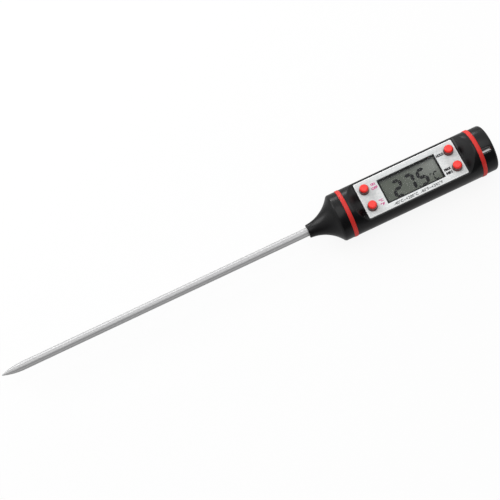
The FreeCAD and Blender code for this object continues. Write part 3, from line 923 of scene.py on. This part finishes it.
@dataclass(frozen=True)
class Reading:
    """Figures of the display: slanted seven-segment digits, a point and the unit."""

    inset: tuple[float, float] = (5.05 * MM, 1.25 * MM)     # first digit in the window's corner
    digit_height: float = 8.7 * MM
    digit_width: float = 4.9 * MM
    bar: float = 1.5 * MM
    gap: float = 0.10 * MM
    slant: float = 0.10             # sideways run for each unit of height
    pitch: float = 6.0 * MM
    dot: tuple[float, float] = (10.55 * MM, 0.1 * MM)       # places from the first digit's foot
    dot_length: float = 1.25 * MM
    dot_bar: float = 0.98 * MM
    degree: tuple[float, float] = (17.3 * MM, 3.2 * MM)
    degree_radii: tuple[float, float] = (0.5 * MM, 0.22 * MM)
    degree_steps: int = 20
    unit_left: float = 18.6 * MM
    unit_size: tuple[float, float] = (1.9 * MM, 3.4 * MM)
    unit_bar: float = 0.62 * MM
    thickness: float = 0.02 * MM

    STROKES = {"2": "abged", "7": "abc", "5": "afgcd", "C": "afed"}

    def stroke(self, bm: bmesh.types.BMesh, a: Vector, b: Vector, bar: float) -> None:
        """Adds one flat pointed bar of a digit.

        Args:
            bm: Mesh that it goes into.
            a: One end of the bar's middle line.
            b: The other end.
            bar: Width of the bar.
        """
        along = (b - a).normalized()
        side = Vector((-along.y, along.x, 0)) * bar / 2
        point = along * (bar / 2)
        inset = along * self.gap
        start, end = a + inset, b - inset
        ring = [start, start + point - side, end - point - side, end, end - point + side,
                start + point + side]
        bm.faces.new([bm.verts.new(v) for v in ring])

    def digit(self, bm: bmesh.types.BMesh, sign: str, left: float, low: float, width: float,
              height: float, bar: float) -> None:
        """Adds one digit made of bars.

        Args:
            bm: Mesh that it goes into.
            sign: Which digit.
            left: Its left side.
            low: Its foot.
            width: Its width between the middle lines of its bars.
            height: Its height between the middle lines of its bars.
            bar: Width of its bars.
        """
        half = height / 2
        corner = {(i, j): Vector((left + i * width, low + j * half, 0))
                  for i in (0, 1) for j in (0, 1, 2)}
        ends = {"a": ((0, 2), (1, 2)), "b": ((1, 1), (1, 2)), "c": ((1, 0), (1, 1)),
                "d": ((0, 0), (1, 0)), "e": ((0, 0), (0, 1)), "f": ((0, 1), (0, 2)),
                "g": ((0, 1), (1, 1))}
        for letter in self.STROKES[sign]:
            start, end = ends[letter]
            self.stroke(bm, corner[start], corner[end], bar)

    def build(self) -> None:
        """Makes the figures on the display cell, inside the window."""
        bm = bmesh.new()
        inner_width = self.digit_width - self.bar
        inner_height = self.digit_height - self.bar
        for index, sign in enumerate("275"):
            self.digit(bm, sign, index * self.pitch, 0.0, inner_width, inner_height, self.bar)
        self.digit(bm, "C", self.unit_left, 0.0, *self.unit_size, self.unit_bar)
        dot = Vector((*self.dot, 0.0))
        self.stroke(bm, dot, dot + Vector((self.dot_length, 0, 0)), self.dot_bar)
        sign_centre = Matrix.Translation((*self.degree, 0))
        rims = set()
        for radius in self.degree_radii:
            ring = bmesh.ops.create_circle(bm, segments=self.degree_steps, radius=radius,
                                           matrix=sign_centre)
            rims.update(edge for vert in ring["verts"] for edge in vert.link_edges)
        bmesh.ops.bridge_loops(bm, edges=list(rims))
        thicken(bm, self.thickness)
        shear = Matrix.Identity(4)
        shear[0][1] = self.slant
        corner = Extent.of("lcd_window").low
        place = Matrix.Translation((corner.x + self.inset[0], corner.y + self.inset[1],
                                    Extent.of("lcd_glass").high.z))
        bmesh.ops.transform(bm, matrix=place @ shear, verts=bm.verts)
        Piece("display_figures", Body.HANDLE, "lcd_glass").make(bm, DISPLAY_INK)


# ---------------------------------------------------------------- pieces: battery cap
@dataclass(frozen=True)
class BatteryCap:
    """Screw cap with a rounded end, finger notches, a coin slot and a threaded spigot."""

    box: Extent
    spigot_radius: float = 7.6 * MM
    root_radius: float = 7.25 * MM
    recess_radius: float = 6.62 * MM
    end_wall: float = 2.5 * MM
    head_length: float = 6.0 * MM
    seal_length: float = 2.05 * MM  # plain part of the spigot under the seal ring
    tail_run: float = 0.3 * MM      # bevel at the spigot's open end
    tail_drop: float = 0.25 * MM
    seat_round: float = 0.2 * MM    # edge of the head over the seal ring
    dome: float = 0.25 * MM
    end_round: float = 1.2 * MM
    thread_lead: float = 1.0 * MM
    thread_turns: float = 2.2
    thread_steps: int = 72          # flats in one turn
    ridge_start: float = 0.4 * MM   # from the spigot's open end
    ridge_sunk: float = 0.1 * MM    # how far the ridge reaches into the root
    ridge_crest: tuple[float, float] = (0.22 * MM, 0.36 * MM)
    ridge_width: float = 0.58 * MM
    notch_radius: float = 1.55 * MM
    notch_depth: float = 1.3 * MM
    notch_angle: float = 23.0
    notch_end: float = 1.5 * MM
    notch_margin: float = 0.02 * MM
    notch_start: float = 1.0 * MM   # how far its cutter starts before the head
    notch_nose: float = 0.85        # rounding of its end, as a share of its radius
    notch_steps: int = 32
    slot_size: tuple[float, float, float] = (1.2 * MM, 12.0 * MM, 1.8 * MM)
    slot_round: float = 0.48        # rounding of its ends, as a share of its width
    slot_segments: int = 6
    steps: int = 144

    @property
    def notch_turns(self) -> tuple[float, float]:
        """Places of the two finger notches round the cap."""
        return self.notch_angle, self.notch_angle + HALF_TURN

    def blank(self) -> bmesh.types.BMesh:
        """The turned form of the cap, without its cuts.

        Returns:
            The form as a bmesh.
        """
        end, start, r = self.box.high.x, self.box.low.x, self.box.radius
        head = end - self.head_length
        outline = [
            (end, 0.0), (end - self.dome, r), (head, r), (head, self.spigot_radius),
            (head - self.seal_length, self.spigot_radius), (head - self.seal_length, self.root_radius),
            (start + self.tail_run, self.root_radius), (start, self.root_radius - self.tail_drop),
            (start, self.recess_radius), (end - self.end_wall, self.recess_radius),
            (end - self.end_wall, 0.0)]
        return turned(outline, self.steps, {1: self.end_round, 2: self.seat_round})

    def notch(self, turn: float) -> bmesh.types.BMesh:
        """Cutter of one finger notch: a round bar with a round end.

        Args:
            turn: Its place round the cap, in degrees from +Z.

        Returns:
            The cutter, in place.
        """
        start = self.box.high.x - self.head_length - self.notch_start
        end = self.box.high.x - self.notch_end
        r = self.notch_radius
        bar = turned([(start, 0.0), (start, r), (end, r), (end, 0.0)], self.notch_steps,
                     {2: r * self.notch_nose})
        out = self.box.radius + r - self.notch_depth
        place = Matrix.Rotation(math.radians(turn), 4, "X") @ Matrix.Translation((0, 0, out))
        bmesh.ops.transform(bar, matrix=place, verts=bar.verts)
        return bar

    def in_notch(self, point: Vector) -> bool:
        """Whether a point of the surface is on the wall of a finger notch.

        Args:
            point: The point, in the frame of the solids.

        Returns:
            True on a notch's wall.
        """
        out = self.box.radius + self.notch_radius - self.notch_depth
        for turn in self.notch_turns:
            axis = Matrix.Rotation(math.radians(turn), 3, "X") @ Vector((0, 0, out))
            near = (point.yz - axis.yz).length < self.notch_radius + self.notch_margin
            sunk = point.yz.length < self.box.radius - self.notch_margin
            if near and sunk and point.x < self.box.high.x - self.notch_end + self.notch_margin:
                return True
        return False

    def slot(self) -> bmesh.types.BMesh:
        """Cutter of the coin slot.

        Returns:
            The cutter, in place.
        """
        depth, length, width = self.slot_size
        bm = bmesh.new()
        size = Matrix.Diagonal((2 * depth, length, width, 1))
        bmesh.ops.create_cube(bm, size=1.0, matrix=Matrix.Translation((self.box.high.x, 0, 0)) @ size)
        corners = [edge for edge in bm.edges
                   if abs(edge.verts[0].co.x - edge.verts[1].co.x) > depth]
        bmesh.ops.bevel(bm, geom=corners, offset=width * self.slot_round, offset_type="OFFSET",
                        segments=self.slot_segments, profile=0.5, affect="EDGES", material=-1)
        return bm

    def thread(self) -> bmesh.types.BMesh:
        """Ridge of the thread, wound on the root of the spigot.

        Returns:
            The ridge as a bmesh.
        """
        bm = bmesh.new()
        x0 = self.box.low.x + self.ridge_start
        base = self.root_radius - self.ridge_sunk
        corners = [(x0, base), *((x0 + run, self.spigot_radius) for run in self.ridge_crest),
                   (x0 + self.ridge_width, base)]
        face = bm.faces.new([bm.verts.new((x, 0, r)) for x, r in corners])
        steps = round(self.thread_steps * self.thread_turns)
        step = Vector((self.thread_lead * self.thread_turns / steps, 0, 0))
        bmesh.ops.spin(bm, geom=[face, *face.verts, *face.edges], cent=(0, 0, 0), axis=ALONG,
                       dvec=step, angle=FULL_TURN * self.thread_turns, steps=steps)
        bmesh.ops.remove_doubles(bm, verts=bm.verts, dist=MERGE)
        bmesh.ops.recalc_face_normals(bm, faces=bm.faces)
        return bm

    def build(self) -> None:
        """Makes the cap and its thread."""
        cutters = [self.notch(turn) for turn in self.notch_turns]
        bm = carved(self.blank(), [*cutters, self.slot()])
        for face in bm.faces:
            face.material_index = int(self.in_notch(face.calc_center_median()))
        made = Piece("screw_cap", Body.CAP, "black_plastic", ("battery_cap",)).make(
            bm, FINISHES["black_plastic"])
        made.data.materials.append(NOTCH_GLOSS.material())
        Piece("cap_thread", Body.CAP, "black_plastic").make(self.thread(), FINISHES["black_plastic"])


# ---------------------------------------------------------------- studio
@dataclass(frozen=True)
class Lamp:
    """A soft rectangular lamp that looks at a point of the thermometer."""

    name: str
    place: tuple[float, float, float]
    size: tuple[float, float]
    power: float
    aim: tuple[float, float, float] = (0.03, 0.0, 0.0)

    def build(self) -> None:
        """Hangs the lamp."""
        light = bpy.data.lights.new(self.name, "AREA")
        light.shape = "RECTANGLE"
        light.size, light.size_y = self.size
        light.energy = self.power
        made = bpy.data.objects.new(self.name, light)
        bpy.context.scene.collection.objects.link(made)
        made.location = self.place
        made.rotation_mode = "QUATERNION"
        made.rotation_quaternion = (Vector(self.aim) - made.location).to_track_quat("-Z", "Y")


@dataclass(frozen=True)
class Studio:
    """Camera, floor, sky and lamps.

    A sky is given as two places from -Y (-1) to +Y (1), and its strength at each of them.
    """

    eye: tuple[float, float, float] = (-0.0311274, -0.1470001, 0.4340893)
    aim: tuple[float, float, float] = (-0.0268118, 0.0037460, 0.0)
    up: tuple[float, float, float] = (0.4254179, 0.8535953, 0.3006570)
    lens: float = 74.2314           # millimetres, as the sensor
    sensor: float = 36.0
    clip: float = 0.01
    floor_side: float = 6.0
    sky: tuple[float, float, float, float] = (-1.0, 1.0, 0.34, 0.72)
    gloss_sky: tuple[float, float, float, float] = (-0.75, 0.55, 0.15, 1.35)
    gloss_floor: float = 0.55       # white of the floor in reflections
    floor_tone: Colour = (0.9, 0.9, 0.9)
    floor_rough: float = 0.9
    backdrop: float = 0.9           # share of plain white that is seen in the floor
    lamps: tuple[Lamp, ...] = (
        Lamp("key_softbox", (-0.33, 0.42, 0.36), (0.40, 0.40), 1.7),
        Lamp("back_strip", (0.06, 0.60, 0.14), (0.30, 0.11), 0.7),
        Lamp("top_softbox", (0.10, 0.05, 0.75), (0.60, 0.60), 1.8),
    )

    def camera(self) -> None:
        """Sets up the camera."""
        data = bpy.data.cameras.new("camera")
        data.lens = self.lens
        data.sensor_width = self.sensor
        data.clip_start = self.clip
        made = bpy.data.objects.new("camera", data)
        bpy.context.scene.collection.objects.link(made)
        back = (Vector(self.eye) - Vector(self.aim)).normalized()
        right = Vector(self.up).cross(back).normalized()
        turn = Matrix((right, back.cross(right), back)).transposed().to_4x4()
        made.matrix_world = Matrix.Translation(self.eye) @ turn
        bpy.context.scene.camera = made

    @staticmethod
    def direct(path: bpy.types.Node, tree: Tree) -> bpy.types.NodeSocket:
        """1 for rays that come from the camera or through a clear piece, else 0."""
        return tree.math("MAXIMUM", path.outputs["Is Camera Ray"],
                         path.outputs["Is Transmission Ray"])

    def floor(self, level: float) -> None:
        """Lays the pale floor: white where it is seen, duller in reflections.

        Args:
            level: Height of the floor.
        """
        bm = bmesh.new()
        bmesh.ops.create_grid(bm, x_segments=1, y_segments=1, size=self.floor_side / 2,
                              matrix=Matrix.Translation((0, 0, level)))
        floor = as_object("floor", bm)
        made = bpy.data.materials.new("floor_white")
        made.use_nodes = True
        tree = Tree(made.node_tree)
        shader = made.node_tree.nodes["Principled BSDF"]
        shader.inputs["Base Color"].default_value = (*self.floor_tone, 1)
        shader.inputs["Roughness"].default_value = self.floor_rough
        shader.inputs["Specular IOR Level"].default_value = 0.0
        path = tree.add("ShaderNodeLightPath")
        direct = self.direct(path, tree)
        glow = tree.add("ShaderNodeEmission")
        tree.join(tree.math("MAXIMUM", direct, self.gloss_floor), glow.inputs["Strength"])
        seen = tree.math("MAXIMUM", direct, path.outputs["Is Glossy Ray"])
        mix = tree.add("ShaderNodeMixShader")
        tree.join(tree.math("MULTIPLY", seen, self.backdrop), mix.inputs["Fac"])
        tree.join(shader.outputs["BSDF"], mix.inputs[1])
        tree.join(glow.outputs["Emission"], mix.inputs[2])
        output = made.node_tree.nodes["Material Output"]
        tree.join(mix.outputs["Shader"], output.inputs["Surface"])
        floor.data.materials.append(made)
        floor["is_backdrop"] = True

    def world(self) -> None:
        """Sets the sky: white where it is seen, darker over the -Y side where it lights."""
        world = bpy.data.worlds.new("studio_sky")
        world.use_nodes = True
        bpy.context.scene.world = world
        tree = Tree(world.node_tree)
        background = world.node_tree.nodes["Background"]
        background.inputs["Color"].default_value = (*WHITE, 1)
        side = tree.add("ShaderNodeSeparateXYZ")
        tree.join(tree.add("ShaderNodeTexCoord").outputs["Generated"], side.inputs["Vector"])
        levels = []
        for start, end, dark, bright in (self.sky, self.gloss_sky):
            lit = tree.add("ShaderNodeMapRange")
            tree.join(side.outputs["Y"], lit.inputs["Value"])
            for label, value in (("From Min", start), ("From Max", end), ("To Min", dark),
                                 ("To Max", bright)):
                lit.inputs[label].default_value = value
            levels.append(lit.outputs["Result"])
        path = tree.add("ShaderNodeLightPath")
        lighting = tree.add("ShaderNodeMix", data_type="FLOAT")
        tree.join(path.outputs["Is Glossy Ray"], lighting.inputs["Factor"])
        tree.join(levels[0], lighting.inputs["A"])
        tree.join(levels[1], lighting.inputs["B"])
        strength = tree.add("ShaderNodeMix", data_type="FLOAT")
        tree.join(self.direct(path, tree), strength.inputs["Factor"])
        tree.join(lighting.outputs["Result"], strength.inputs["A"])
        strength.inputs["B"].default_value = 1.0
        tree.join(strength.outputs["Result"], background.inputs["Strength"])

    def build(self, level: float) -> None:
        """Sets up the whole studio round a part that stands at a level.

        Args:
            level: Height of the floor.
        """
        self.camera()
        self.floor(level)
        self.world()
        for lamp in self.lamps:
            lamp.build()
        bpy.context.scene.view_settings.view_transform = "Standard"


# ---------------------------------------------------------------- thermometer
@dataclass(frozen=True)
class Thermometer:
    """The whole instrument."""

    record: dict
    front_bore: float = 10.12 * MM
    seal_bore: float = 7.68 * MM
    left_gap: float = 4.6 * MM      # middle of a left key to the middle of its words
    right_gap: float = 4.25 * MM    # and of a right key
    line_step: float = 0.95 * MM    # line of a pair of words, from the middle of its key
    letters: float = 1.35 * MM      # height of the words
    hold_letters: float = 1.4 * MM
    range_letters: float = 1.45 * MM
    range_place: tuple[float, float] = (0.1 * MM, 1.3 * MM)     # past the middle, above the edge
    bold: float = 0.16 * MM
    fine: float = 0.03 * MM

    def dress_solids(self) -> None:
        """Gives every solid the material of its slot."""
        for part in self.record["subparts"]:
            node = frame["nodes"][part["node"]]
            node.data.materials.clear()
            node.data.materials.append(FINISHES[part["material_slot"]].material())

    def print_plate(self) -> None:
        """Prints the faceplate: what the keys do, and the range."""
        plate = Extent.of("faceplate")
        power = Extent.of("button_power").centre
        left = power.x + self.left_gap
        right = Extent.of("button_hold").centre.x - self.right_gap
        upper, lower = power.y, Extent.of("button_units").centre.y
        tall, step = self.letters, self.line_step
        foot = (plate.centre.x + self.range_place[0], plate.low.y + self.range_place[1])
        lines = (
            Label("print_on", "ON", (left, upper + step), tall, width=2.1 * MM,
                  ink=INK_MAGENTA),
            Label("print_off", "OFF", (left, upper - step), tall, width=3.0 * MM,
                  ink=INK_MAGENTA),
            Label("print_celsius", "°C", (left, lower + step), tall, width=2.0 * MM,
                  ink=INK_MAGENTA),
            Label("print_fahrenheit", "°F", (left, lower - step), tall, width=2.0 * MM,
                  ink=INK_MAGENTA),
            Label("print_hold", "HOLD", (right, upper), self.hold_letters, width=3.6 * MM,
                  ink=INK_BLACK),
            Label("print_max", "MAX", (right, lower + step), tall, width=3.2 * MM,
                  ink=INK_BLACK, weight=self.bold),
            Label("print_min", "MIN", (right, lower - step), tall, width=2.9 * MM,
                  ink=INK_BLACK, weight=self.bold),
            Label("print_range", "-40°C~+200°C  -40°F~+392°F", foot, self.range_letters,
                  width=23.6 * MM, ink=INK_BLACK, weight=self.fine),
        )
        for line in lines:
            line.build(plate.high.z)

    def build(self) -> None:
        """Builds and dresses every piece in order."""
        self.dress_solids()
        pin = self.record["mounts"][0]["dims"]["r_mm"] * MM
        Stem(Extent.of("probe_stem"), pin).build()
        SoftRing("collar_ring", "front_ring", Body.HANDLE, self.front_bore).build()
        SoftRing("seal_ring", "rear_ring", Body.SEAL, self.seal_bore).build()
        Handle().build()
        for key, body in (("power", Body.POWER), ("units", Body.UNITS), ("hold", Body.HOLD),
                          ("max_min", Body.MAX_MIN)):
            PushButton(key, body).build()
        self.print_plate()
        WindowMask().build()
        Reading().build()
        BatteryCap(Extent.of("battery_cap")).build()


def main() -> None:
    """Builds the thermometer and the studio, with the floor at the foot of the solids' box."""
    logging.basicConfig(level=logging.INFO, format="%(name)s: %(message)s")
    solid_box = [list(corner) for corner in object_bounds()]
    Thermometer(frame["record"]).build()
    Studio().build(solid_box[0][2])


if __name__ == "__main__":
    main()
